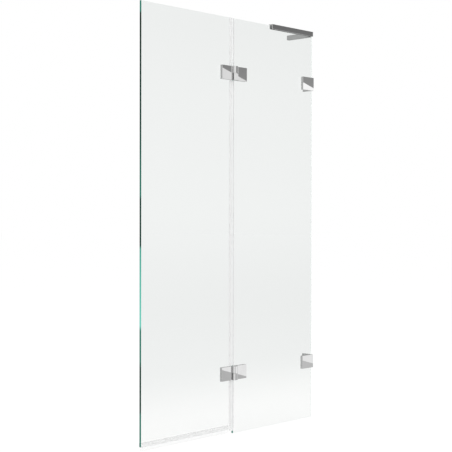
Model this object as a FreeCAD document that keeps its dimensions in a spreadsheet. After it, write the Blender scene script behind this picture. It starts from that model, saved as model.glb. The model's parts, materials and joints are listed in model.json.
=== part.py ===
import FreeCAD, Part
import math
import os
import Sketcher

# Frameless bath screen: a pane fixed to the wall and a door pane hinged to it, in millimetres.
# X = 0 is the wall and the screen runs towards -X, Y = 0 is the middle of the glass with the
# hinge side facing -Y, and Z = 0 is the bath rim under the fixed pane.
sizes = {
    "screen_width": 900,
    "screen_height": 1500,
    "fixed_width": 450,
    "wall_gap": 1,
    "panel_gap": 8,
    "glass_thickness": 8,
    "glass_arris": 0.6,
    "door_rise": 18,
    "upper_hinge_drop": 200,
    "lower_hinge_rise": 220,
    "gasket_thickness": 1,
    "plate_height": 50,
    "plate_thickness": 9,
    "edge_round": 0.3,
    "fit_clearance": 0.1,
    "tip_clearance": 0.5,
    "hinge_plate_width": 50,
    "knuckle_span": 30,
    "axis_offset": 3.5,
    "fold_gap": 4,
    "knuckle_clearance": 1,
    "knuckle_side": 1,
    "knuckle_bevel": 5.5,
    "arm_thickness": 5,
    "web_thickness": 2,
    "washer_thickness": 1,
    "pin_diameter": 6,
    "pin_reach": 18,
    "pin_bevel": 0.5,
    "bush_wall": 1,
    "washer_inset": 0.3,
    "running_clearance": 0.05,
    "press_clearance": 0.02,
    "fixing_pitch": 24,
    "fixing_hole": 16,
    "fixing_sink": 3,
    "screw_diameter": 6,
    "screw_depth": 5.5,
    "hinge_head": 16,
    "clamp_head": 12,
    "hex_key": 4,
    "hex_depth": 2.5,
    "clamp_width": 65,
    "clamp_edge_gap": 1,
    "clamp_hole": 12,
    "clamp_inset": 27,
    "bracket_thickness": 5,
    "bracket_glass_leg": 40,
    "bracket_wall_leg": 37,
    "wall_hole": 5.5,
    "wall_hole_pitch": 28,
    "wall_hole_inset": 21,
    "wall_sink": 2.5,
    "stay_length": 242,
    "stay_height": 18,
    "stay_wall": 4.2,
    "stay_roof": 4,
    "liner_thickness": 1,
    "stay_reach": 107,
    "stay_leg_thickness": 14,
    "stay_leg_height": 18,
    "stay_leg_drop": 2.5,
    "stay_plate_thickness": 6,
    "stay_plate_rim": 0.6,
    "stay_plate_margin": 6,
    "stay_fit": 0.3,
    "stay_hole_pitch": 56,
    "set_screw": 4,
    "set_screw_inset": 40,
    "lock_screw_pitch": 78,
    "set_key": 2,
    "set_key_depth": 1.5,
    "seal_leg": 13,
    "seal_back_leg": 8,
    "seal_wall": 1.6,
    "lip_gap": 0.8,
    "lip_overlap": 1.5,
    "bulb_gap": 0.3,
    "bulb_bore": 4,
    "seal_notch": 1.5,
    "seal_bottom": 10,
    "sweep_leg": 13,
    "sweep_wall": 1.2,
    "sweep_web": 1.5,
    "sweep_length": 15,
    "sweep_fin": 1.5,
    "sweep_end_gap": 0.5,
}

doc = FreeCAD.newDocument("BathScreen")
sheet = doc.addObject("Spreadsheet::Sheet", "Dims")
for row, (name, size) in enumerate(sizes.items(), start=1):
    sheet.set(f"A{row}", str(size))
    sheet.setAlias(f"A{row}", name)
doc.recompute()

# Places that several pieces share, written as sheet expressions
glass_face = "Dims.glass_thickness / 2"
fixed_edge = "(-Dims.wall_gap - Dims.fixed_width)"
door_edge = f"({fixed_edge} - Dims.panel_gap)"
pin_x = f"({fixed_edge} - Dims.axis_offset)"
pin_stand = "(Dims.gasket_thickness + Dims.plate_thickness + Dims.fold_gap)"
pin_y = f"(-{glass_face} - {pin_stand})"
hollow_radius = f"({pin_stand} - Dims.gasket_thickness - Dims.web_thickness)"
knuckle_radius = f"({hollow_radius} - Dims.knuckle_clearance)"
plate_start = "Dims.knuckle_span / 2"
plate_end = "(Dims.knuckle_span / 2 + Dims.hinge_plate_width)"
plate_middle = "(Dims.knuckle_span / 2 + Dims.hinge_plate_width / 2)"
half_plate = "Dims.plate_height / 2"
half_washer = "Dims.washer_thickness / 2"
screw_hole = "(Dims.screw_diameter + 2 * Dims.fit_clearance)"
screw_bore = "(Dims.screw_depth + Dims.tip_clearance)"
bracket_front = f"({glass_face} + Dims.gasket_thickness)"
bracket_back = f"({bracket_front} + Dims.bracket_thickness)"
clip_face = f"({glass_face} + Dims.fit_clearance)"
half_slot = f"({glass_face} + Dims.liner_thickness)"
half_stay = f"({half_slot} + Dims.stay_wall)"
stay_top = "(Dims.liner_thickness + Dims.stay_roof)"
stay_bottom = f"({stay_top} - Dims.stay_height)"
leg_bottom = f"({stay_top} - Dims.stay_leg_drop - Dims.stay_leg_height)"
leg_level = f"({leg_bottom} + Dims.stay_leg_height / 2)"
leg_middle = f"({half_stay} + Dims.stay_reach / 2)"
stay_plate_half = "(Dims.wall_hole / 2 + Dims.wall_sink + Dims.stay_plate_rim)"
recess_half_height = f"({stay_plate_half} + Dims.stay_fit)"
lock_wall = f"(Dims.stay_leg_height / 2 - {recess_half_height})"
levels = {
    "upper": "(Dims.screen_height - Dims.upper_hinge_drop)",
    "lower": "Dims.lower_hinge_rise",
}
sides = {"door": -1, "fixed": 1}
sub_parts = {}
same_place = 1e-6


def number(expression):
    return float(sheet.evalExpression(expression))


def new_body(label, x="0", y="0", z="0"):
    body = doc.addObject("PartDesign::Body", label)
    body.Label = label
    for axis, expression in zip("xyz", (x, y, z)):
        body.setExpression(f"Placement.Base.{axis}", expression)
    return body


def bind(sketch, expression, kind, *place):
    index = sketch.addConstraint(Sketcher.Constraint(kind, *place, number(expression)))
    sketch.setExpression(f"Constraints[{index}]", expression)


def pin_down(sketch, shape, vertex, point):
    for kind, expression in zip(("DistanceX", "DistanceY"), point):
        bind(sketch, expression, kind, -1, 1, shape, vertex)


def vector(point):
    return FreeCAD.Vector(number(point[0]), number(point[1]), 0)


def new_sketch(body, plane, loops=(), circles=(), lift="0"):
    sketch = body.newObject("Sketcher::SketchObject", "Sketch")
    support = next(item for item in body.Origin.OriginFeatures if item.Role == plane)
    sketch.AttachmentSupport = [(support, "")]
    sketch.MapMode = "FlatFace"
    sketch.setExpression("AttachmentOffset.Base.z", lift)
    for points in loops:
        first = sketch.GeometryCount
        corners = [vector(point) for point in points]
        for start, end in zip(corners, corners[1:] + corners[:1]):
            sketch.addGeometry(Part.LineSegment(start, end))
        for step, point in enumerate(points):
            following = (step + 1) % len(points)
            sketch.addConstraint(
                Sketcher.Constraint("Coincident", first + step, 2, first + following, 1)
            )
            pin_down(sketch, first + step, 1, point)
    for x, y, diameter in circles:
        outline = Part.Circle(vector((x, y)), FreeCAD.Vector(0, 0, 1), number(diameter) / 2)
        circle = sketch.addGeometry(outline)
        bind(sketch, diameter, "Diameter", circle)
        pin_down(sketch, circle, 3, (x, y))
    return sketch


def rectangle(left, right, low, high):
    return [(left, low), (right, low), (right, high), (left, high)]


def hexagon(key):
    across = f"{key} / sqrt(3)"
    angles = [60 * corner for corner in range(6)]
    return [(f"{across} * cos({angle} deg)", f"{across} * sin({angle} deg)") for angle in angles]


def pad(body, sketch, length, backward=False, both_ways=False):
    feature = body.newObject("PartDesign::Pad", "Pad")
    feature.Profile = sketch
    feature.setExpression("Length", length)
    feature.Reversed = backward
    feature.Midplane = both_ways
    return feature


def pocket(body, sketch, depth=None, along_normal=False, both_ways=False):
    feature = body.newObject("PartDesign::Pocket", "Pocket")
    feature.Profile = sketch
    feature.Reversed = along_normal
    if depth is None:
        feature.Type = "ThroughAll"
        feature.Midplane = both_ways
    else:
        feature.setExpression("Length", depth)
    return feature


def revolve(body, sketch):
    feature = body.newObject("PartDesign::Revolution", "Revolution")
    feature.Profile = sketch
    feature.ReferenceAxis = (sketch, ["V_Axis"])
    feature.Angle = 360
    return feature


def chamfer(body, feature, wanted, size):
    doc.recompute()
    edges = enumerate(feature.Shape.Edges, start=1)
    names = [f"Edge{index}" for index, edge in edges if wanted(edge)]
    bevel = body.newObject("PartDesign::Chamfer", "Chamfer")
    bevel.Base = (feature, names)
    bevel.setExpression("Size", size)
    return bevel


def round_front(body, feature, front):
    doc.recompute()
    place = number(front)
    faces = enumerate(feature.Shape.Faces, start=1)
    names = [
        f"Face{index}"
        for index, face in faces
        if max(abs(face.BoundBox.YMin - place), abs(face.BoundBox.YMax - place)) < same_place
    ]
    fillet = body.newObject("PartDesign::Fillet", "Fillet")
    fillet.Base = (feature, names)
    fillet.setExpression("Radius", "Dims.edge_round")
    return fillet


def round_edge(axis, place, diameter):
    # Picks the round edges of one diameter that lie at one place along an axis
    def wanted(edge):
        if not isinstance(edge.Curve, Part.Circle):
            return False
        at_place = abs(getattr(edge.Curve.Center, axis) - number(place)) < same_place
        return at_place and abs(2 * edge.Curve.Radius - number(diameter)) < same_place

    return wanted


def pane_outline(edge):
    # Picks the long straight edges round both faces of a pane
    straight = isinstance(edge.Curve, Part.Line)
    return straight and edge.Length > number("2 * Dims.glass_thickness")


def screw_levels(level):
    return [f"({level} - Dims.fixing_pitch / 2)", f"({level} + Dims.fixing_pitch / 2)"]


def glass_pane(label, left, right, low, hinge_side, clamped):
    body = new_body(label)
    outline = rectangle(left, right, low, "Dims.screen_height")
    pane = pad(body, new_sketch(body, "XZ_Plane", [outline]), "Dims.glass_thickness", both_ways=True)
    pane = chamfer(body, pane, pane_outline, "Dims.glass_arris")
    hinge_x = f"({pin_x} + {hinge_side} * {plate_middle})"
    heights = [height for level in levels.values() for height in screw_levels(level)]
    holes = [(hinge_x, height, "Dims.fixing_hole") for height in heights]
    if clamped:
        holes += [("-Dims.clamp_inset", height, "Dims.clamp_hole") for height in heights]
    drilled = pocket(body, new_sketch(body, "XZ_Plane", circles=holes), both_ways=True)
    chamfer(body, drilled, round_edge("y", glass_face, "Dims.fixing_hole"), "Dims.fixing_sink")
    sub_parts[label] = body


def knuckle_sketch(body, lift):
    # Half round behind the pin, and in front of it a flat with two facets at each side
    sketch = new_sketch(body, "XY_Plane", lift=lift)
    inner = f"({knuckle_radius} - Dims.knuckle_bevel)"
    front = "(-Dims.knuckle_side - Dims.knuckle_bevel)"
    facet_step = "Dims.knuckle_bevel * cos(45 deg)"
    facet_x = f"({inner} + {facet_step})"
    facet_y = f"(-Dims.knuckle_side - {facet_step})"
    points = [
        (knuckle_radius, "0"),
        (knuckle_radius, "-Dims.knuckle_side"),
        (facet_x, facet_y),
        (inner, front),
        (f"-{inner}", front),
        (f"-{facet_x}", facet_y),
        (f"-{knuckle_radius}", "-Dims.knuckle_side"),
        (f"-{knuckle_radius}", "0"),
    ]
    corners = [vector(point) for point in points]
    for start, end in zip(corners, corners[1:]):
        sketch.addGeometry(Part.LineSegment(start, end))
    last = len(corners) - 2
    for line in range(last):
        sketch.addConstraint(Sketcher.Constraint("Coincident", line, 2, line + 1, 1))
        pin_down(sketch, line, 2, points[line + 1])
    circle = Part.Circle(FreeCAD.Vector(), FreeCAD.Vector(0, 0, 1), number(knuckle_radius))
    arc = sketch.addGeometry(Part.ArcOfCircle(circle, 0, math.pi))
    bind(sketch, knuckle_radius, "Radius", arc)
    sketch.addConstraint(Sketcher.Constraint("Coincident", arc, 3, -1, 1))
    for end, line, vertex in ((1, 0, 1), (2, last, 2)):
        sketch.addConstraint(Sketcher.Constraint("Coincident", arc, end, line, vertex))
        sketch.addConstraint(Sketcher.Constraint("PointOnObject", line, vertex, -1))
    return sketch


def hinge_leaf(label, level, name):
    # A plate on the glass, half of the knuckle on an arm, and an arm hollowed round the other half:
    # the door's half rides on the fixed one
    side = sides[name]
    on_door = name == "door"
    body = new_body(label, pin_x, pin_y, level)
    plate_back = f"({pin_stand} - Dims.gasket_thickness)"
    outline = rectangle(f"{side} * {plate_start}", f"{side} * {plate_end}", f"-{half_plate}", half_plate)
    sketch = new_sketch(body, "XZ_Plane", [outline], lift=f"-{plate_back}")
    pad(body, sketch, "Dims.plate_thickness")
    start = half_washer if on_door else f"-{half_washer}"
    own_end = half_plate if on_door else f"-{half_plate}"
    other_end = f"-{half_plate}" if on_door else half_plate
    arm = rectangle("0", f"{side} * {plate_start}", start, own_end)
    pad(body, new_sketch(body, "XZ_Plane", [arm], lift=f"-{plate_back}"), "Dims.arm_thickness")
    web = rectangle(f"{side} * Dims.knuckle_clearance", f"{side} * {plate_start}", other_end, start)
    pad(body, new_sketch(body, "XZ_Plane", [web], lift=f"-{plate_back}"), "Dims.arm_thickness")
    hollow = new_sketch(body, "XY_Plane", circles=[("0", "0", f"2 * {hollow_radius}")], lift=start)
    pocket(body, hollow, f"{half_plate} + {half_washer}", along_normal=not on_door)
    knuckle = knuckle_sketch(body, half_washer if on_door else f"-{half_plate}")
    pad(body, knuckle, f"{half_plate} - {half_washer}")
    bore = "(Dims.pin_diameter + 2 * Dims.press_clearance)"
    if on_door:
        bore = f"({bore} + 2 * Dims.running_clearance + 2 * Dims.bush_wall)"
    bore_sketch = new_sketch(body, "XY_Plane", circles=[("0", "0", bore)], lift=start)
    bore_depth = f"Dims.pin_reach + Dims.tip_clearance - {half_washer}"
    pocket(body, bore_sketch, bore_depth, along_normal=on_door)
    holes = [(f"{side} * {plate_middle}", height, screw_hole) for height in screw_levels("0")]
    sketch = new_sketch(body, "XZ_Plane", circles=holes, lift=f"-{plate_back}")
    tapped = pocket(body, sketch, screw_bore, along_normal=True)
    round_front(body, tapped, "Dims.fold_gap")
    sub_parts[label] = body


def hinge_gasket(label, level, side):
    body = new_body(label, pin_x, pin_y, level)
    outline = rectangle(f"{side} * {plate_start}", f"{side} * {plate_end}", f"-{half_plate}", half_plate)
    holes = [(f"{side} * {plate_middle}", height, screw_hole) for height in screw_levels("0")]
    sketch = new_sketch(body, "XZ_Plane", [outline], holes, lift=f"-{pin_stand}")
    pad(body, sketch, "Dims.gasket_thickness")
    sub_parts[label] = body


def hinge_pin(label, level):
    body = new_body(label, pin_x, pin_y, level)
    radius = "Dims.pin_diameter / 2"
    neck = f"({radius} - Dims.pin_bevel)"
    shoulder = "(Dims.pin_reach - Dims.pin_bevel)"
    points = [
        ("0", "-Dims.pin_reach"),
        (neck, "-Dims.pin_reach"),
        (radius, f"-{shoulder}"),
        (radius, shoulder),
        (neck, "Dims.pin_reach"),
        ("0", "Dims.pin_reach"),
    ]
    revolve(body, new_sketch(body, "XZ_Plane", [points]))
    sub_parts[label] = body


def hinge_bush(label, level):
    # Sleeve inside the door's knuckle, with a washer flange that runs on the fixed knuckle
    body = new_body(label, pin_x, pin_y, level)
    inner = "(Dims.pin_diameter / 2 + Dims.running_clearance)"
    outer = f"({inner} + Dims.bush_wall)"
    flange = "(Dims.knuckle_side + Dims.knuckle_bevel - Dims.washer_inset)"
    underside = f"(Dims.fit_clearance - {half_washer})"
    points = [
        (inner, underside),
        (flange, underside),
        (flange, half_washer),
        (outer, half_washer),
        (outer, "Dims.pin_reach"),
        (inner, "Dims.pin_reach"),
    ]
    revolve(body, new_sketch(body, "XZ_Plane", [points]))
    sub_parts[label] = body


def cone_sleeve(label, x, z):
    # Fills the countersunk hole of the pane and seats the screw's head flush with the glass
    body = new_body(label, x, "0", z)
    bore = f"{screw_hole} / 2"
    outer = "(Dims.fixing_hole / 2 - Dims.fit_clearance)"
    seat = "(Dims.hinge_head / 2 + Dims.fit_clearance)"
    points = [
        (bore, f"-{glass_face}"),
        (outer, f"-{glass_face}"),
        (outer, f"{glass_face} - Dims.fixing_sink"),
        (f"{outer} + Dims.fixing_sink", glass_face),
        (seat, glass_face),
        (bore, f"{glass_face} + {bore} - {seat}"),
    ]
    revolve(body, new_sketch(body, "XY_Plane", [points]))
    return body


def plain_sleeve(label, x, z):
    body = new_body(label, x, "0", z)
    bore = f"{screw_hole} / 2"
    outer = "(Dims.clamp_hole / 2 - Dims.fit_clearance)"
    points = rectangle(bore, outer, f"-{glass_face}", glass_face)
    revolve(body, new_sketch(body, "XY_Plane", [points]))
    return body


def sunk_screw(label, x, z, top, head):
    # Countersunk hexagon socket screw along Y, from its flush head to its tip in the front plate
    body = new_body(label, x, "0", z)
    shank = "Dims.screw_diameter / 2"
    tip = f"(-{glass_face} - Dims.gasket_thickness - Dims.screw_depth)"
    points = [
        ("0", top),
        (f"{head} / 2", top),
        (shank, f"{top} + {shank} - {head} / 2"),
        (shank, tip),
        ("0", tip),
    ]
    revolve(body, new_sketch(body, "XY_Plane", [points]))
    socket = new_sketch(body, "XZ_Plane", [hexagon("Dims.hex_key")], lift=f"-{top}")
    pocket(body, socket, "Dims.hex_depth", along_normal=True)
    return body


def set_screw(label, x, y, z, plane, length):
    # Headless screw whose socket end lies on the sketch plane
    body = new_body(label, x, y, z)
    diameter = "(Dims.set_screw - 2 * Dims.fit_clearance)"
    pad(body, new_sketch(body, plane, circles=[("0", "0", diameter)]), length)
    socket = new_sketch(body, plane, [hexagon("Dims.set_key")])
    pocket(body, socket, "Dims.set_key_depth", along_normal=True)
    return body


def group(label, bodies):
    compound = doc.addObject("Part::Compound", label)
    compound.Label = label
    compound.Links = bodies
    sub_parts[label] = compound


def wall_bracket(label, level):
    # Angle behind the glass: one leg on the pane, the other on the wall
    body = new_body(label, z=level)
    thickness = "Dims.bracket_thickness"
    far = f"({bracket_front} + Dims.bracket_wall_leg)"
    points = [
        ("-Dims.bracket_glass_leg", bracket_front),
        ("0", bracket_front),
        ("0", far),
        (f"-{thickness}", far),
        (f"-{thickness}", bracket_back),
        ("-Dims.bracket_glass_leg", bracket_back),
    ]
    pad(body, new_sketch(body, "XY_Plane", [points]), "Dims.plate_height", both_ways=True)
    holes = [("-Dims.clamp_inset", height, screw_hole) for height in screw_levels("0")]
    drilled = pocket(body, new_sketch(body, "XZ_Plane", circles=holes), both_ways=True)
    seat = "(Dims.clamp_head - Dims.screw_diameter) / 2"
    chamfer(body, drilled, round_edge("y", bracket_back, screw_hole), seat)
    hole_y = f"({bracket_front} + Dims.wall_hole_inset)"
    holes = [(hole_y, f"{sign} * Dims.wall_hole_pitch / 2", "Dims.wall_hole") for sign in (-1, 1)]
    drilled = pocket(body, new_sketch(body, "YZ_Plane", circles=holes), both_ways=True)
    chamfer(body, drilled, round_edge("x", f"-{thickness}", "Dims.wall_hole"), "Dims.wall_sink")
    sub_parts[label] = body


def clamp_plate(label, level):
    body = new_body(label, z=level)
    left = "(-Dims.clamp_edge_gap - Dims.clamp_width)"
    outline = rectangle(left, "-Dims.clamp_edge_gap", f"-{half_plate}", half_plate)
    pad(body, new_sketch(body, "XZ_Plane", [outline], lift=bracket_front), "Dims.plate_thickness")
    holes = [("-Dims.clamp_inset", height, screw_hole) for height in screw_levels("0")]
    sketch = new_sketch(body, "XZ_Plane", circles=holes, lift=bracket_front)
    tapped = pocket(body, sketch, screw_bore, along_normal=True)
    round_front(body, tapped, f"-{bracket_front} - Dims.plate_thickness")
    sub_parts[label] = body


def clamp_gasket(label, level, left, right, lift):
    body = new_body(label, z=level)
    outline = rectangle(left, right, f"-{half_plate}", half_plate)
    holes = [("-Dims.clamp_inset", height, screw_hole) for height in screw_levels("0")]
    pad(body, new_sketch(body, "XZ_Plane", [outline], holes, lift=lift), "Dims.gasket_thickness")
    sub_parts[label] = body


def stabiliser_arm(label):
    # Slotted rail over the top edge of the fixed pane, turned back along the wall behind the glass
    body = new_body(label, z="Dims.screen_height")
    rail = [
        (f"-{half_stay}", stay_bottom),
        (f"-{half_stay}", stay_top),
        (half_stay, stay_top),
        (half_stay, stay_bottom),
        (half_slot, stay_bottom),
        (half_slot, "Dims.liner_thickness"),
        (f"-{half_slot}", "Dims.liner_thickness"),
        (f"-{half_slot}", stay_bottom),
    ]
    pad(body, new_sketch(body, "YZ_Plane", [rail]), "Dims.stay_length", backward=True)
    leg = rectangle("-Dims.stay_leg_thickness", "0", half_slot, f"{half_stay} + Dims.stay_reach")
    pad(body, new_sketch(body, "XY_Plane", [leg], lift=leg_bottom), "Dims.stay_leg_height")
    recess = rectangle(
        f"{half_stay} + Dims.stay_plate_margin",
        f"{half_stay} + Dims.stay_reach - Dims.stay_plate_margin",
        f"{leg_level} - {recess_half_height}",
        f"{leg_level} + {recess_half_height}",
    )
    pocket(body, new_sketch(body, "YZ_Plane", [recess]), "Dims.stay_plate_thickness + Dims.stay_fit")
    holes = [(x, f"{stay_bottom} / 2", "Dims.set_screw") for x in rail_screw_places()]
    sketch = new_sketch(body, "XZ_Plane", circles=holes, lift=f"-{half_stay}")
    pocket(body, sketch, "Dims.stay_wall", along_normal=True)
    holes = [("-Dims.stay_plate_thickness / 2", y, "Dims.set_screw") for y in lock_screw_places()]
    sketch = new_sketch(body, "XY_Plane", circles=holes, lift=leg_bottom)
    drilled = pocket(body, sketch, lock_wall, along_normal=True)
    round_front(body, drilled, f"-{half_stay}")
    sub_parts[label] = body


def rail_screw_places():
    near = "(-Dims.stay_leg_thickness - Dims.set_screw_inset)"
    return [near, "(Dims.set_screw_inset - Dims.stay_length)"]


def lock_screw_places():
    return [f"({leg_middle} + {sign} * Dims.lock_screw_pitch / 2)" for sign in (-1, 1)]


def stabiliser_screws():
    height = f"Dims.screen_height + {stay_bottom} / 2"
    bodies = []
    for index, x in enumerate(rail_screw_places()):
        bodies.append(set_screw(f"rail_screw_{index}", x, half_stay, height, "XZ_Plane", "Dims.stay_wall"))
    lock_x = "-Dims.stay_plate_thickness / 2"
    lock_z = f"Dims.screen_height + {leg_bottom}"
    lock_length = f"{lock_wall} + Dims.stay_fit"
    for index, y in enumerate(lock_screw_places()):
        bodies.append(set_screw(f"lock_screw_{index}", lock_x, y, lock_z, "XY_Plane", lock_length))
    group("stabiliser_set_screws", bodies)


def stabiliser_wall_plate(label):
    # Flat bar on the wall that the hollow leg of the arm slips over
    body = new_body(label, z="Dims.screen_height")
    inset = "(Dims.stay_plate_margin + Dims.stay_fit)"
    outline = rectangle(
        f"{half_stay} + {inset}",
        f"{half_stay} + Dims.stay_reach - {inset}",
        f"{leg_level} - {stay_plate_half}",
        f"{leg_level} + {stay_plate_half}",
    )
    places = [f"{leg_middle} + {sign} * Dims.stay_hole_pitch / 2" for sign in (-1, 1)]
    holes = [(place, leg_level, "Dims.wall_hole") for place in places]
    sketch = new_sketch(body, "YZ_Plane", [outline], holes)
    plate = pad(body, sketch, "Dims.stay_plate_thickness", backward=True)
    head_side = round_edge("x", "-Dims.stay_plate_thickness", "Dims.wall_hole")
    chamfer(body, plate, head_side, "Dims.wall_sink")
    sub_parts[label] = body


def stabiliser_liner(label):
    body = new_body(label, z="Dims.screen_height")
    points = [
        (f"-{half_slot}", stay_bottom),
        (f"-{half_slot}", "Dims.liner_thickness"),
        (half_slot, "Dims.liner_thickness"),
        (half_slot, stay_bottom),
        (glass_face, stay_bottom),
        (glass_face, "0"),
        (f"-{glass_face}", "0"),
        (f"-{glass_face}", stay_bottom),
    ]
    sketch = new_sketch(body, "YZ_Plane", [points], lift="-Dims.wall_gap")
    pad(body, sketch, "Dims.stay_length - Dims.wall_gap", backward=True)
    sub_parts[label] = body


def hinge_edge_seal(label):
    # Clip on the hinge edge of the door with a hollow bulb and a front lip, cut away at the hinges
    body = new_body(label, door_edge, "0", "Dims.seal_bottom")
    front = f"(-{glass_face} - Dims.seal_wall)"
    back = f"({glass_face} + Dims.seal_wall)"
    lip_back = f"(-{glass_face} - Dims.lip_gap)"
    lip_end = "(Dims.panel_gap + Dims.lip_overlap)"
    bulb_end = "(Dims.panel_gap - Dims.bulb_gap)"
    points = [
        ("-Dims.seal_leg", front),
        (lip_end, front),
        (lip_end, lip_back),
        (bulb_end, lip_back),
        (bulb_end, back),
        ("-Dims.seal_back_leg", back),
        ("-Dims.seal_back_leg", clip_face),
        ("Dims.fit_clearance", clip_face),
        ("Dims.fit_clearance", f"-{clip_face}"),
        ("-Dims.seal_leg", f"-{clip_face}"),
    ]
    bore = [(f"{bulb_end} / 2", "0", "Dims.bulb_bore")]
    pad(body, new_sketch(body, "XY_Plane", [points], bore), "Dims.screen_height - Dims.seal_bottom")
    reach = f"({half_plate} + Dims.seal_notch)"
    notches = [
        rectangle(
            "-Dims.seal_leg - Dims.seal_notch",
            f"{lip_end} + Dims.seal_notch",
            f"{level} - Dims.seal_bottom - {reach}",
            f"{level} - Dims.seal_bottom + {reach}",
        )
        for level in levels.values()
    ]
    pocket(body, new_sketch(body, "XZ_Plane", notches, lift=glass_face), along_normal=True)
    sub_parts[label] = body


def bottom_seal(label):
    # Clip on the bottom edge of the door with a fin that sweeps just above the rim
    body = new_body(label, "-Dims.screen_width", "0", "Dims.door_rise")
    outer = f"({glass_face} + Dims.sweep_wall)"
    fin = "Dims.sweep_fin / 2"
    points = [
        (f"-{outer}", "Dims.sweep_leg"),
        (f"-{outer}", "-Dims.sweep_web"),
        (f"-{fin}", "-Dims.sweep_web"),
        (f"-{fin}", "-Dims.sweep_length"),
        (fin, "-Dims.sweep_length"),
        (fin, "-Dims.sweep_web"),
        (outer, "-Dims.sweep_web"),
        (outer, "Dims.sweep_leg"),
        (clip_face, "Dims.sweep_leg"),
        (clip_face, "-Dims.fit_clearance"),
        (f"-{clip_face}", "-Dims.fit_clearance"),
        (f"-{clip_face}", "Dims.sweep_leg"),
    ]
    length = f"{door_edge} - Dims.seal_leg - Dims.sweep_end_gap + Dims.screen_width"
    pad(body, new_sketch(body, "YZ_Plane", [points]), length)
    sub_parts[label] = body


def wall_seal(label):
    strip = doc.addObject("Part::Box", label)
    strip.Label = label
    strip.setExpression("Length", "Dims.wall_gap - Dims.fit_clearance")
    strip.setExpression("Width", "Dims.glass_thickness")
    strip.setExpression("Height", "Dims.screen_height")
    strip.setExpression("Placement.Base.x", "Dims.fit_clearance - Dims.wall_gap")
    strip.setExpression("Placement.Base.y", f"-{glass_face}")
    sub_parts[label] = strip


glass_pane("fixed_glass", fixed_edge, "-Dims.wall_gap", "0", sides["fixed"], clamped=True)
glass_pane("door_glass", "-Dims.screen_width", door_edge, "Dims.door_rise", sides["door"], clamped=False)

for name, level in levels.items():
    for leaf, side in sides.items():
        hinge_leaf(f"{name}_hinge_{leaf}_leaf", level, leaf)
        hinge_gasket(f"{name}_hinge_{leaf}_gasket", level, side)
    hinge_pin(f"{name}_hinge_pin", level)
    hinge_bush(f"{name}_hinge_bush", level)
    wall_bracket(f"{name}_wall_bracket", level)
    clamp_plate(f"{name}_clamp_plate", level)
    plate_left = "(-Dims.clamp_edge_gap - Dims.clamp_width)"
    clamp_gasket(f"{name}_clamp_gasket", level, plate_left, "-Dims.wall_gap", glass_face)
    leg_left = "-Dims.bracket_glass_leg"
    clamp_gasket(f"{name}_bracket_gasket", level, leg_left, "-Dims.wall_gap", f"-{bracket_front}")

fixing_heights = [height for level in levels.values() for height in screw_levels(level)]
for leaf, side in sides.items():
    hinge_x = f"{pin_x} + {side} * {plate_middle}"
    sleeves = []
    screws = []
    for index, height in enumerate(fixing_heights):
        sleeves.append(cone_sleeve(f"{leaf}_sleeve_{index}", hinge_x, height))
        screws.append(sunk_screw(f"{leaf}_screw_{index}", hinge_x, height, glass_face, "Dims.hinge_head"))
    group(f"hinge_{leaf}_sleeves", sleeves)
    group(f"hinge_{leaf}_screws", screws)

clamp_sleeves = []
clamp_screws = []
for index, height in enumerate(fixing_heights):
    clamp_sleeves.append(plain_sleeve(f"clamp_sleeve_{index}", "-Dims.clamp_inset", height))
    screw = sunk_screw(f"clamp_screw_{index}", "-Dims.clamp_inset", height, bracket_back, "Dims.clamp_head")
    clamp_screws.append(screw)
group("clamp_sleeves", clamp_sleeves)
group("clamp_screws", clamp_screws)

stabiliser_arm("stabiliser_arm")
stabiliser_wall_plate("stabiliser_wall_plate")
stabiliser_liner("stabiliser_liner")
stabiliser_screws()
hinge_edge_seal("hinge_edge_seal")
bottom_seal("bottom_seal")
wall_seal("wall_seal")

doc.recompute()
for item in doc.Objects:
    if {"Invalid", "Error"} & set(item.State):
        raise RuntimeError(f"{item.Label} could not be made: {item.State}")
    if item.TypeId == "PartDesign::Pocket" and item.Shape.Volume >= item.BaseFeature.Shape.Volume:
        raise RuntimeError(f"{item.Label} cuts nothing")
for label, item in sub_parts.items():
    if item.Shape.isNull() or not item.Shape.isValid():
        raise RuntimeError(f"{label} has no valid shape")

os.makedirs("parts", exist_ok=True)
for label, item in sub_parts.items():
    item.Shape.exportStep(f"parts/{label}.step")
    print(f"{label}: {len(item.Shape.Solids)} solids, {item.Shape.Volume:.1f} cubic millimetres")
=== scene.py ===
import json
import math

import bmesh
import bpy
from mathutils import Matrix, Vector

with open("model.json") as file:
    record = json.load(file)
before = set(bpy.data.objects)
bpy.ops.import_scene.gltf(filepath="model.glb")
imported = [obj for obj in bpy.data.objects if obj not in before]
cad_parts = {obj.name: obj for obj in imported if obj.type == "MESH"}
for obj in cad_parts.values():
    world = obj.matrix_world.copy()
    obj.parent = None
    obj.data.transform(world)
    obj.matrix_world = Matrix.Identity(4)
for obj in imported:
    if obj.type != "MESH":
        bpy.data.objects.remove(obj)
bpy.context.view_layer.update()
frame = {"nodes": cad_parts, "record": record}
nodes = frame["nodes"]
scene = bpy.context.scene
scene.view_settings.view_transform = "Standard"
print("stage 1: frame loaded,", len(nodes), "nodes")


# small helpers for node trees
def newMaterial(name):
    material = bpy.data.materials.new(name)
    material.use_nodes = True
    return material, material.node_tree, material.node_tree.nodes["Principled BSDF"]


def feed(tree, node, inputs):
    for name, value in inputs.items():
        socket = node.inputs[name]
        if isinstance(value, bpy.types.NodeSocket):
            tree.links.new(value, socket)
        else:
            socket.default_value = (*value, 1) if socket.type == "RGBA" else value


def addNode(tree, kind, inputs=None, **settings):
    node = tree.nodes.new(kind)
    for name, value in settings.items():
        setattr(node, name, value)
    feed(tree, node, inputs or {})
    return node


def addMath(tree, operation, first, second=0.0, clamp=False):
    node = addNode(tree, "ShaderNodeMath", {0: first, 1: second}, operation=operation, use_clamp=clamp)
    return node.outputs["Value"]


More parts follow.
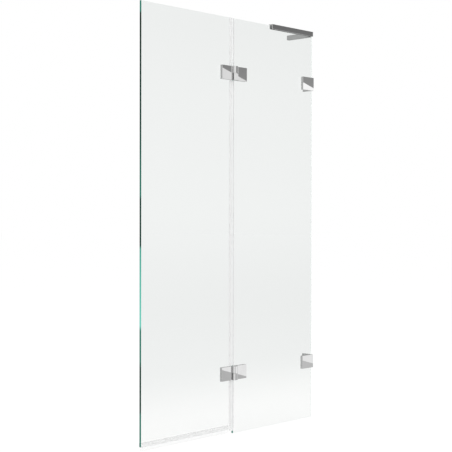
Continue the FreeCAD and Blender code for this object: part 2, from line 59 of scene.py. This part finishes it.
def addRange(tree, value, source, target=(0.0, 1.0), easing="LINEAR"):
    node = addNode(tree, "ShaderNodeMapRange", {
        "Value": value,
        "From Min": source[0],
        "From Max": source[1],
        "To Min": target[0],
        "To Max": target[1]}, interpolation_type=easing)
    return node.outputs["Result"]


def grey(level):
    return (level, level, level)


def addRamp(tree, factor, stops, easing="LINEAR"):
    ramp = addNode(tree, "ShaderNodeValToRGB", {"Fac": factor})
    ramp.color_ramp.interpolation = easing
    places = ramp.color_ramp.elements
    while len(places) < len(stops):
        places.new(1.0)
    for place, (position, colour) in zip(places, stops):
        place.position = position
        place.color = (*colour, 1)
    return ramp.outputs["Color"]


def greyRamp(tree, factor, stops):
    return addRamp(tree, factor, [(at, grey(level)) for at, level in stops])


def mixColour(tree, factor, first, second):
    # sockets 6 and 7 are the two colours, and output 2 is their mix
    return addNode(tree, "ShaderNodeMix", {0: factor, 6: first, 7: second}, data_type="RGBA").outputs[2]


def multiply(tree, first, second):
    return addNode(tree, "ShaderNodeVectorMath", {0: first, 1: second}, operation="MULTIPLY").outputs[0]


def mixShaders(tree, factor, first, second):
    return addNode(tree, "ShaderNodeMixShader", {0: factor, 1: first, 2: second}).outputs["Shader"]


def setSurface(tree, surface):
    tree.links.new(surface, tree.nodes["Material Output"].inputs["Surface"])


def objectPlace(tree):
    return addNode(tree, "ShaderNodeTexCoord").outputs["Object"]


def splitAxes(tree, vector):
    return addNode(tree, "ShaderNodeSeparateXYZ", {"Vector": vector}).outputs


def evenNoise(tree, place, scale, detail):
    noise = addNode(tree, "ShaderNodeTexNoise", {"Vector": place, "Scale": scale, "Detail": detail})
    return noise.outputs["Fac"]


def stretchedNoise(tree, place, stretch, detail, harshness=0.5):
    mapping = addNode(tree, "ShaderNodeMapping", {"Vector": place, "Scale": stretch})
    noise = addNode(tree, "ShaderNodeTexNoise", {
        "Vector": mapping.outputs["Vector"], "Scale": 1.0, "Detail": detail, "Roughness": harshness})
    return noise.outputs["Fac"]


def addBump(tree, grain, finish):
    bump = addNode(tree, "ShaderNodeBump", {
        "Strength": finish["bump"], "Distance": finish["bumpDepth"], "Height": grain})
    return bump.outputs["Normal"]


def fromBytes(red, green, blue):
    # colour as a screen shows it, to scene linear
    parts = []
    for part in (red, green, blue):
        part = part / 255
        parts.append(part / 12.92 if part <= 0.04045 else ((part + 0.055) / 1.055) ** 2.4)
    return tuple(parts)


# toughened glass: clear faces, and ground edges that show the green of the body
clearGlass = {
    "height": 1.5,
    "shades": {"clear": (251, 252, 251), "faint": (246, 248, 247), "tinted": (240, 242, 241),
               "mint": (196, 214, 208), "pale": (110, 203, 186), "sage": (88, 143, 130),
               "jade": (76, 162, 144), "sea": (46, 117, 101), "bottle": (21, 60, 50), "deep": (13, 34, 27)},
    # shade at each share of the height: through the faces, on the free edges, on the covered edges; the
    # changes with height are painted light and painted reflections
    "tint": [(0.0, "clear"), (0.04, "clear"), (0.18, "tinted"), (0.27, "tinted"), (0.56, "faint")],
    "edge": [(0.0, "sea"), (0.082, "sea"), (0.092, "bottle"), (0.187, "bottle"), (0.203, "sea"),
             (0.27, "sea"), (0.281, "pale"), (0.451, "jade"), (0.458, "bottle"), (0.561, "bottle"),
             (0.569, "sea"), (0.72, "bottle"), (0.972, "deep"), (0.977, "sea")],
    "coveredEdge": [(0.007, "sage"), (0.012, "mint")],
    "coveredFrom": -0.6,           # upright edges nearer the wall than this sit behind their seals and are painted paler, as painted light
    "edgeTurn": 0.5,               # a face that looks less than this along Y is a ground edge
    "arrisTurn": 0.69,             # and so is one that looks more than this along X, bevels included
    "faceTurn": 0.9,               # from inside, light leaves through an edge or bevel below this
    "edgeRoughness": 0.22,
    "grindGrain": (300, 300, 9),   # upright lines that the grinding leaves
    "grindDetail": 3.0,
    "grindTone": (0.85, 1.15),
    "shadowTint": (0.93, 0.95, 0.94),
    "ior": 1.5,
    "specular": 0.012,
}


def shadesOver(tree, height, stops, easing="LINEAR"):
    shades = clearGlass["shades"]
    return addRamp(tree, height, [(at, fromBytes(*shades[shade])) for at, shade in stops], easing)


def makeGlass():
    material, tree, shader = newMaterial("toughenedGlass")
    texture = addNode(tree, "ShaderNodeTexCoord").outputs
    place = splitAxes(tree, texture["Object"])
    turn = splitAxes(tree, texture["Normal"])
    facing = addMath(tree, "ABSOLUTE", turn["Y"])
    upright = addMath(tree, "GREATER_THAN", addMath(tree, "ABSOLUTE", turn["X"]), clearGlass["arrisTurn"])
    inside = addNode(tree, "ShaderNodeNewGeometry").outputs["Backfacing"]
    onEdge = addMath(tree, "MAXIMUM", addMath(tree, "LESS_THAN", facing, clearGlass["edgeTurn"]), upright)
    onEdge = addMath(tree, "SUBTRACT", onEdge, inside, clamp=True)
    leaving = addMath(tree, "MULTIPLY", addMath(tree, "LESS_THAN", facing, clearGlass["faceTurn"]), inside)

    height = addMath(tree, "DIVIDE", place["Z"], clearGlass["height"], clamp=True)
    # painted light: the faces' shade changes with height, clearest at the foot
    tint = shadesOver(tree, height, clearGlass["tint"], "EASE")
    # upright edges near the wall are painted paler, as painted light
    nearWall = addMath(tree, "GREATER_THAN", place["X"], clearGlass["coveredFrom"])
    covered = addMath(tree, "MULTIPLY", nearWall, upright)
    # the ground edges are green in the body; the light and dark bands on the free edges are painted
    # reflections of a room that isn't built
    freeGreenAndReflections = shadesOver(tree, height, clearGlass["edge"])
    coveredTone = shadesOver(tree, height, clearGlass["coveredEdge"])
    ground = stretchedNoise(tree, texture["Object"], clearGlass["grindGrain"], clearGlass["grindDetail"])
    streak = addRange(tree, ground, (0.0, 1.0), clearGlass["grindTone"])
    edgeColour = multiply(tree, mixColour(tree, covered, freeGreenAndReflections, coveredTone), streak)
    feed(tree, shader, {
        "Base Color": mixColour(tree, onEdge, tint, edgeColour),
        "Transmission Weight": addMath(tree, "SUBTRACT", 1.0, onEdge),
        "Roughness": addMath(tree, "MULTIPLY", onEdge, clearGlass["edgeRoughness"]),
        "IOR": clearGlass["ior"],
        "Specular IOR Level": clearGlass["specular"]})

    # light that runs out through an edge from inside goes straight on, and so do shadow rays
    clear = addNode(tree, "ShaderNodeBsdfTransparent", {"Color": clearGlass["shadowTint"]}).outputs["BSDF"]
    shadowRay = addNode(tree, "ShaderNodeLightPath").outputs["Is Shadow Ray"]
    ended = mixShaders(tree, leaving, shader.outputs["BSDF"], clear)
    setSurface(tree, mixShaders(tree, shadowRay, ended, clear))
    return material


# polished chrome: a mirror with the faintest polishing haze
chrome = {
    "colour": 0.8,
    "hazeScale": 35.0,
    "hazeDetail": 3.0,
    "hazeTone": [(0.35, 0.97), (0.65, 1.0)],
    "roughness": (0.004, 0.016),
    "roughSpan": (0.3, 0.7),
    "marksGrain": (90, 90, 90),
    "marksDetail": 4.0,
    "bump": 0.002,
    "bumpDepth": 0.001,
    # the flank of the fixed knuckle inside the slot is painted dark: it mirrors a room that isn't built
    "slotFlank": {"left": -0.4628, "behind": -0.0188, "tone": 0.3},
}


def makeChrome(name, withFlank=False):
    material, tree, shader = newMaterial(name)
    place = objectPlace(tree)
    tone = chrome["colour"]
    haze = evenNoise(tree, place, chrome["hazeScale"], chrome["hazeDetail"])
    colour = greyRamp(tree, haze, [(at, tone * level) for at, level in chrome["hazeTone"]])
    if withFlank:
        flank = chrome["slotFlank"]
        axes = splitAxes(tree, place)
        leftOf = addMath(tree, "LESS_THAN", axes["X"], flank["left"])
        behind = addMath(tree, "GREATER_THAN", axes["Y"], flank["behind"])
        dark = addMath(tree, "MULTIPLY", leftOf, behind)
        colour = mixColour(tree, dark, colour, grey(tone * flank["tone"]))
    marks = stretchedNoise(tree, place, chrome["marksGrain"], chrome["marksDetail"])
    feed(tree, shader, {
        "Base Color": colour,
        "Roughness": addRange(tree, haze, chrome["roughSpan"], chrome["roughness"]),
        "Normal": addBump(tree, marks, chrome),
        "Metallic": 1.0})
    return material


# stainless pins, plates and set screws: fine turned lines
steel = {
    "grain": (40, 900, 40),
    "detail": 5.0,
    "harshness": 0.6,
    "tone": [(0.3, 0.46), (0.7, 0.58)],
    "roughness": (0.2, 0.34),
    "roughSpan": (0.3, 0.7),
    "bump": 0.03,
    "bumpDepth": 0.0005,
}


def makeSteel():
    material, tree, shader = newMaterial("brushedSteel")
    lines = stretchedNoise(tree, objectPlace(tree), steel["grain"], steel["detail"], steel["harshness"])
    feed(tree, shader, {
        "Base Color": greyRamp(tree, lines, steel["tone"]),
        "Roughness": addRange(tree, lines, steel["roughSpan"], steel["roughness"]),
        "Normal": addBump(tree, lines, steel),
        "Metallic": 1.0})
    return material


# clear plastic of the seals and gaskets, with lengthwise drawing lines
softClear = {
    "detail": 4.0,
    "harshness": 0.55,
    "roughness": (0.24, 0.4),
    "roughSpan": (0.3, 0.7),
    "specular": 0.3,
    "bump": 0.08,
    "bumpDepth": 0.0005,
}
gasket = {"grain": (700, 700, 700), "tone": [(0.3, 0.68), (0.7, 0.74)], "alpha": 0.5}
wallStrip = {"grain": (900, 900, 3), "tone": [(0.3, 0.9), (0.7, 0.95)], "alpha": 0.1}
# the front wall and lip are frosted, their colour set lighter and darker in bands across the width; the
# rest of the clip is clear
hingeSeal = {
    "grain": (900, 900, 3),
    "tone": [(0.3, 0.96), (0.7, 1.0)],
    "axis": "Y",
    "span": (-0.0042, -0.004),
    "veil": (0.9, 0.02),
    "bandSpan": (-0.472, -0.4495),
    "bands": [(0.0, 0.75), (0.3, 0.73), (0.45, 0.71), (0.55, 0.84), (0.68, 0.84), (0.78, 0.68),
              (0.92, 0.68), (1.0, 0.72)],
    "paintedFootLight": (1.08, 0.92),    # painted light: a little paler at the foot than at the top, where the lamps reach less
    "milkiness": 0.7,
    "glowDepth": 0.004,       # how far light spreads inside the plastic
}
# the clip is frosted and the fin below it clear
sweepSeal = {
    "grain": (3, 900, 900),
    "tone": [(0.3, 0.85), (0.7, 0.89)],
    "axis": "Z",
    "span": (0.0158, 0.0164),
    "veil": (0.1, 0.45),
}


def makeSoftClear(name, plastic):
    material, tree, shader = newMaterial(name)
    place = objectPlace(tree)
    axes = splitAxes(tree, place)
    drawn = stretchedNoise(tree, place, plastic["grain"], softClear["detail"], softClear["harshness"])
    colour = greyRamp(tree, drawn, plastic["tone"])
    if "bands" in plastic:
        across = addRange(tree, axes["X"], plastic["bandSpan"])
        colour = multiply(tree, colour, greyRamp(tree, across, plastic["bands"]))
        # painted light: the seal is lightened towards the foot
        paintedFootLight = addRange(tree, axes["Z"], (0.0, clearGlass["height"]), plastic["paintedFootLight"])
        colour = multiply(tree, colour, paintedFootLight)
    if "veil" in plastic:
        alpha = addRange(tree, axes[plastic["axis"]], plastic["span"], plastic["veil"])
    else:
        alpha = plastic["alpha"]
    feed(tree, shader, {
        "Base Color": colour,
        "Roughness": addRange(tree, drawn, softClear["roughSpan"], softClear["roughness"]),
        "Normal": addBump(tree, drawn, softClear),
        "Alpha": alpha,
        "Specular IOR Level": softClear["specular"]})
    if "milkiness" in plastic:
        feed(tree, shader, {
            "Subsurface Weight": plastic["milkiness"],
            "Subsurface Radius": (1.0, 1.0, 1.0),
            "Subsurface Scale": plastic["glowDepth"]})
    return material


# moulded pieces: the hinge bushes, and the dark rubber that lines the slot of the stabiliser
nylon = {
    "scale": 900.0,
    "detail": 2.0,
    "colour": [(0.35, (0.72, 0.71, 0.68)), (0.65, (0.8, 0.79, 0.76))],
    "roughness": 0.45,
    "bump": 0.1,
    "bumpDepth": 0.0003,
}
rubber = {
    "scale": 1400.0,
    "detail": 3.0,
    "colour": [(0.3, (0.022, 0.03, 0.027)), (0.7, (0.04, 0.05, 0.046))],
    "roughness": 0.55,
    "bump": 0.15,
    "bumpDepth": 0.0003,
}


def makeMoulded(name, finish):
    material, tree, shader = newMaterial(name)
    grain = evenNoise(tree, objectPlace(tree), finish["scale"], finish["detail"])
    feed(tree, shader, {
        "Base Color": addRamp(tree, grain, finish["colour"]),
        "Roughness": finish["roughness"],
        "Normal": addBump(tree, grain, finish)})
    return material


finishes = {
    "glass": makeGlass(),
    "polished_chrome": makeChrome("polishedChrome"),
    "stainless_steel": makeSteel(),
    "clear_gasket": makeSoftClear("gasket", gasket),
    "nylon": makeMoulded("mouldedNylon", nylon),
    "dark_rubber": makeMoulded("darkRubber", rubber),
}
slottedChrome = makeChrome("slottedChrome", withFlank=True)
ownFinishes = {
    "upper_hinge_fixed_leaf": slottedChrome,
    "lower_hinge_fixed_leaf": slottedChrome,
    "hinge_edge_seal": makeSoftClear("hingeSeal", hingeSeal),
    "bottom_seal": makeSoftClear("sweepSeal", sweepSeal),
    "wall_seal": makeSoftClear("wallStrip", wallStrip),
}
slotOf = {row["node"]: row["material_slot"] for row in frame["record"]["subparts"]}
for name, piece in nodes.items():
    finish = ownFinishes[name] if name in ownFinishes else finishes[slotOf[name]]
    for materialSlot in piece.material_slots:
        materialSlot.material = finish
print("stage 2: finishes made for", len(nodes), "nodes")


# studio: white floor, world, reflection cards and soft lamps
studio = {
    "floorSize": 60.0,
    "floorGlow": 0.8,
    "floorColour": 0.222,
    "floorMirrored": 0.55,
    "worldLight": 0.9,
    # what the polished metal sees: levels from straight down (0) to straight up (1)
    "openSky": [(0.0, 0.6), (0.43, 0.68), (0.57, 0.92), (1.0, 0.95)],
    "leftSky": [(0.0, 0.9), (0.43, 0.97), (0.57, 0.86), (1.0, 0.86)],
    "backSky": [(0.0, 0.3), (0.4, 0.4), (0.5, 0.5), (1.0, 0.5)],
    "flagSky": [(0.0, 0.5), (0.425, 0.55), (0.5, 0.5), (0.555, 0.36), (0.565, 0.3), (0.585, 0.18),
                (1.0, 0.16)],
    "flagSide": (0.788, -0.616, 0.0),   # the dark flag stands to the front right
    # how far a ray leans to each side where that side's sky begins, and where it is full
    "leftEdge": (-0.6, -0.85),
    "backEdge": (0.4, 0.6),
    "flagEdge": (0.87, 0.95),
}


def plane(name, corners):
    mesh = bpy.data.meshes.new(name)
    shape = bmesh.new()
    shape.faces.new([shape.verts.new(corner) for corner in corners])
    shape.to_mesh(mesh)
    shape.free()
    piece = bpy.data.objects.new(name, mesh)
    scene.collection.objects.link(piece)
    return piece


def mirroredRay(tree):
    # true for light that has left a polished surface
    depth = addNode(tree, "ShaderNodeLightPath").outputs["Glossy Depth"]
    return addMath(tree, "GREATER_THAN", depth, 0.5)


def makeFloor():
    half = studio["floorSize"] / 2
    floor = plane("floor", [(-half, -half, 0), (half, -half, 0), (half, half, 0), (-half, half, 0)])
    material, tree, shader = newMaterial("paleFloor")
    tree.nodes.remove(shader)
    matt = addNode(tree, "ShaderNodeBsdfDiffuse", {"Color": grey(studio["floorColour"])}).outputs["BSDF"]
    glow = addNode(tree, "ShaderNodeEmission", {"Strength": studio["floorGlow"]}).outputs["Emission"]
    pale = addNode(tree, "ShaderNodeAddShader", {0: matt, 1: glow}).outputs["Shader"]
    dim = addNode(tree, "ShaderNodeEmission", {"Strength": studio["floorMirrored"]}).outputs["Emission"]
    setSurface(tree, mixShaders(tree, mirroredRay(tree), pale, dim))
    floor.data.materials.append(material)
    floor.visible_glossy = False
    floor.visible_diffuse = False


def makeWorld():
    world = bpy.data.worlds.new("studio")
    world.use_nodes = True
    scene.world = world
    tree = world.node_tree
    direction = addNode(tree, "ShaderNodeTexCoord").outputs["Generated"]
    axes = splitAxes(tree, direction)
    rise = addRange(tree, axes["Z"], (-1.0, 1.0))
    flagward = addNode(tree, "ShaderNodeVectorMath", {0: direction, 1: studio["flagSide"]},
                       operation="DOT_PRODUCT").outputs["Value"]
    mirrored = greyRamp(tree, rise, studio["openSky"])
    for sky, side, edge in (("leftSky", axes["X"], "leftEdge"),
                            ("backSky", axes["Y"], "backEdge"),
                            ("flagSky", flagward, "flagEdge")):
        towards = addRange(tree, side, studio[edge], easing="SMOOTHSTEP")
        mirrored = mixColour(tree, towards, mirrored, greyRamp(tree, rise, studio[sky]))
    rays = addNode(tree, "ShaderNodeLightPath").outputs
    seen = addMath(tree, "MAXIMUM", rays["Is Camera Ray"], rays["Is Transmission Ray"])
    lit = mixColour(tree, seen, grey(studio["worldLight"]), grey(1.0))
    feed(tree, tree.nodes["Background"], {
        "Color": mixColour(tree, mirroredRay(tree), lit, mirrored),
        "Strength": 1.0})


# light panels for the polished metal, cut on the slant and fading out at the other three sides
cardStand = {"away": -0.95, "fade": 0.12}
cards = {
    "hingeTop": {"left": 0.40, "right": 0.76, "cut": (1.519, 1.416), "end": 1.30, "level": 0.87},
    "hingeFoot": {"left": 0.40, "right": 0.76, "cut": (0.062, -0.038), "end": 0.20, "level": 0.97},
    "clampTop": {"left": 1.00, "right": 1.30, "cut": (1.505, 1.424), "end": 1.30, "level": 1.17},
    "clampFoot": {"left": 1.00, "right": 1.30, "cut": (0.053, -0.030), "end": 0.20, "level": 0.97},
    "clampSkirt": {"left": 1.00, "right": 1.30, "cut": (0.053, -0.030), "end": -0.20, "level": 0.63},
}


def makeCard(name, size):
    away = cardStand["away"]
    fade = cardStand["fade"]
    end = size["end"]
    leftCut, rightCut = size["cut"]
    step = (rightCut - leftCut) * fade / (size["right"] - size["left"])
    left = size["left"] - fade
    right = size["right"] + fade
    half = (right - left) / 2
    card = plane(name, [(left, away, end), (right, away, end),
                        (right, away, rightCut + step), (left, away, leftCut - step)])
    material, tree, shader = newMaterial(name)
    tree.nodes.remove(shader)
    axes = splitAxes(tree, objectPlace(tree))
    fromMiddle = addMath(tree, "ABSOLUTE", addMath(tree, "SUBTRACT", axes["X"], left + half))
    fromEnd = addMath(tree, "ABSOLUTE", addMath(tree, "SUBTRACT", axes["Z"], end))
    sides = addRange(tree, fromMiddle, (half - fade, half), easing="SMOOTHSTEP")
    ending = addRange(tree, fromEnd, (0.0, fade), (1.0, 0.0), easing="SMOOTHSTEP")
    soft = addMath(tree, "MAXIMUM", sides, ending)
    inGlass = addNode(tree, "ShaderNodeLightPath").outputs["Is Singular Ray"]
    soft = addMath(tree, "MAXIMUM", soft, inGlass)   # the panels show in the metal, not in the glass
    glow = addNode(tree, "ShaderNodeEmission", {"Strength": size["level"]}).outputs["Emission"]
    clear = addNode(tree, "ShaderNodeBsdfTransparent").outputs["BSDF"]
    setSurface(tree, mixShaders(tree, soft, glow, clear))
    card.data.materials.append(material)
    card.visible_camera = False
    card.visible_diffuse = False
    card.visible_transmission = False
    card.visible_shadow = False


lampTarget = (-0.45, 0, 0.7)
lamps = {
    "keyLamp": {"place": (-2.6, -2.4, 3.2), "size": 2.2, "power": 60},
    "fillLamp": {"place": (1.6, -2.8, 2.6), "size": 2.6, "power": 35},
}


def makeLamp(name, size):
    light = bpy.data.lights.new(name, "AREA")
    light.energy = size["power"]
    light.size = size["size"]
    light.use_shadow = False   # the soft shadows come from the world's light
    lamp = bpy.data.objects.new(name, light)
    lamp.location = size["place"]
    aim = Vector(lampTarget) - Vector(size["place"])
    lamp.rotation_euler = aim.to_track_quat("-Z", "Y").to_euler()
    lamp.visible_glossy = False
    lamp.visible_transmission = False
    scene.collection.objects.link(lamp)


makeFloor()
makeWorld()
for cardName, cardSize in cards.items():
    makeCard(cardName, cardSize)
for lampName, lampSize in lamps.items():
    makeLamp(lampName, lampSize)
print("stage 3: studio set")


# camera, at the photograph's viewing angle
viewpoint = {
    "place": (-3.33609, -2.678, 0.78959),
    "yaw": 46.7943,       # the three turns are in degrees, this one from +Y towards +X
    "pitch": -0.57543,
    "roll": 0.0901,
    "lens": 86.7192,
    "sensor": 36.0,
}


def makeCamera():
    yaw = math.radians(viewpoint["yaw"])
    pitch = math.radians(viewpoint["pitch"])
    aim = Vector((math.sin(yaw) * math.cos(pitch), math.cos(yaw) * math.cos(pitch), math.sin(pitch)))
    right = Vector((math.cos(yaw), -math.sin(yaw), 0))
    right = Matrix.Rotation(-math.radians(viewpoint["roll"]), 3, aim) @ right
    up = right.cross(aim)
    lens = bpy.data.cameras.new("viewpoint")
    lens.lens = viewpoint["lens"]
    lens.sensor_width = viewpoint["sensor"]
    camera = bpy.data.objects.new("viewpoint", lens)
    camera.matrix_world = Matrix((right, up, -aim)).transposed().to_4x4()
    camera.location = viewpoint["place"]
    scene.collection.objects.link(camera)
    scene.camera = camera


makeCamera()
print("stage 4: camera placed")
